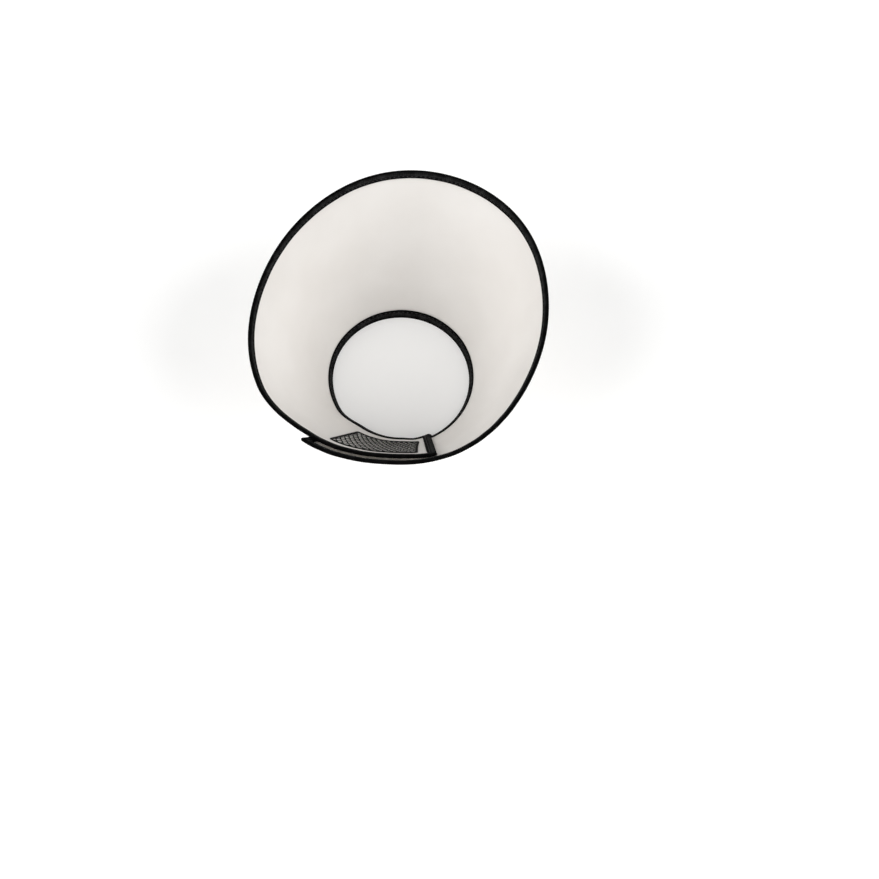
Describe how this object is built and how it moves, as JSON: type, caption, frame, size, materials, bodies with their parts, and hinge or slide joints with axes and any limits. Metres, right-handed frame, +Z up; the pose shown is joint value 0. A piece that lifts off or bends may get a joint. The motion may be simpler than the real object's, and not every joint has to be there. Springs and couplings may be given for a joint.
{
  "type": "elizabethan collar",
  "caption": "Flexible cone collar for a pet, a frosted sheet bound in black tape, rolled round the neck and closed at the throat by an overlapping hook-and-loop fastening.",
  "frame": {"origin": "under the middle of the collar's outline, on the plane that the neck edge stands on", "axes": "+Z up through the mouth of the cone, -Y towards the throat and its closure, +Y towards the nape, +X to the wearer's left as the wearer faces -Y"},
  "size_m": [0.318, 0.3474, 0.1783],
  "materials": {
    "frosted_sheet": "milky, frosted, smooth",
    "binding_tape": "black ribbed woven tape",
    "mesh_fabric": "black open mesh over a pale backing",
    "loop_fabric": "black napped loop pile",
    "hook_tape": "black tape with rows of small moulded hooks"
  },
  "bodies": {
    "back": {"sheet_back": "frosted_sheet", "rim_binding_back": "binding_tape", "neck_binding_back": "binding_tape"},
    "left_side": {"sheet_left_side": "frosted_sheet", "rim_binding_left_side": "binding_tape", "neck_binding_left_side": "binding_tape"},
    "left_front": {"sheet_left_front": "frosted_sheet", "rim_binding_left_front": "binding_tape", "neck_binding_left_front": "binding_tape"},
    "inner_end": {"sheet_inner_end": "frosted_sheet", "rim_binding_inner_end": "binding_tape", "neck_binding_inner_end": "binding_tape", "inner_end_binding": "binding_tape", "mesh_panel": "mesh_fabric", "mesh_panel_tape": "binding_tape", "loop_panel": "loop_fabric"},
    "right_side": {"sheet_right_side": "frosted_sheet", "rim_binding_right_side": "binding_tape", "neck_binding_right_side": "binding_tape"},
    "right_front": {"sheet_right_front": "frosted_sheet", "rim_binding_right_front": "binding_tape", "neck_binding_right_front": "binding_tape"},
    "outer_end": {"sheet_outer_end": "frosted_sheet", "rim_binding_outer_end": "binding_tape", "neck_binding_outer_end": "binding_tape", "outer_end_binding": "binding_tape", "lower_hook_strip": "hook_tape", "upper_hook_strip": "hook_tape"}
  },
  "joints": [
    {"name": "right_side_bend", "type": "hinge", "parent": "back", "child": "right_side", "pos_m": [0.1161, 0.13213, 0.09], "axis": [0, 0, 1], "range_deg": [0, 18]},
    {"name": "right_front_bend", "type": "hinge", "parent": "right_side", "child": "right_front", "pos_m": [0.14801, -0.05754, 0.09], "axis": [0, 0, 1], "range_deg": [0, 18]},
    {"name": "outer_end_peel", "type": "hinge", "parent": "right_front", "child": "outer_end", "pos_m": [0.04546, -0.16778, 0.09], "axis": [0, 0, 1], "range_deg": [0, 27]},
    {"name": "left_side_bend", "type": "hinge", "parent": "back", "child": "left_side", "pos_m": [-0.10052, 0.11749, 0.09], "axis": [0, 0, -1], "range_deg": [0, 18]},
    {"name": "left_front_bend", "type": "hinge", "parent": "left_side", "child": "left_front", "pos_m": [-0.15627, -0.06175, 0.09], "axis": [0, 0, -1], "range_deg": [0, 18]},
    {"name": "inner_end_flex", "type": "hinge", "parent": "left_front", "child": "inner_end", "pos_m": [-0.03879, -0.06202, 0.09], "axis": [0, 0, 1], "range_deg": [0, 20]}
  ],
  "couplings": [
    {"joint": "right_front_bend", "follows": "right_side_bend", "ratio": 1},
    {"joint": "outer_end_peel", "follows": "right_side_bend", "ratio": 1.5},
    {"joint": "left_side_bend", "follows": "right_side_bend", "ratio": 1},
    {"joint": "left_front_bend", "follows": "right_side_bend", "ratio": 1}
  ]
}
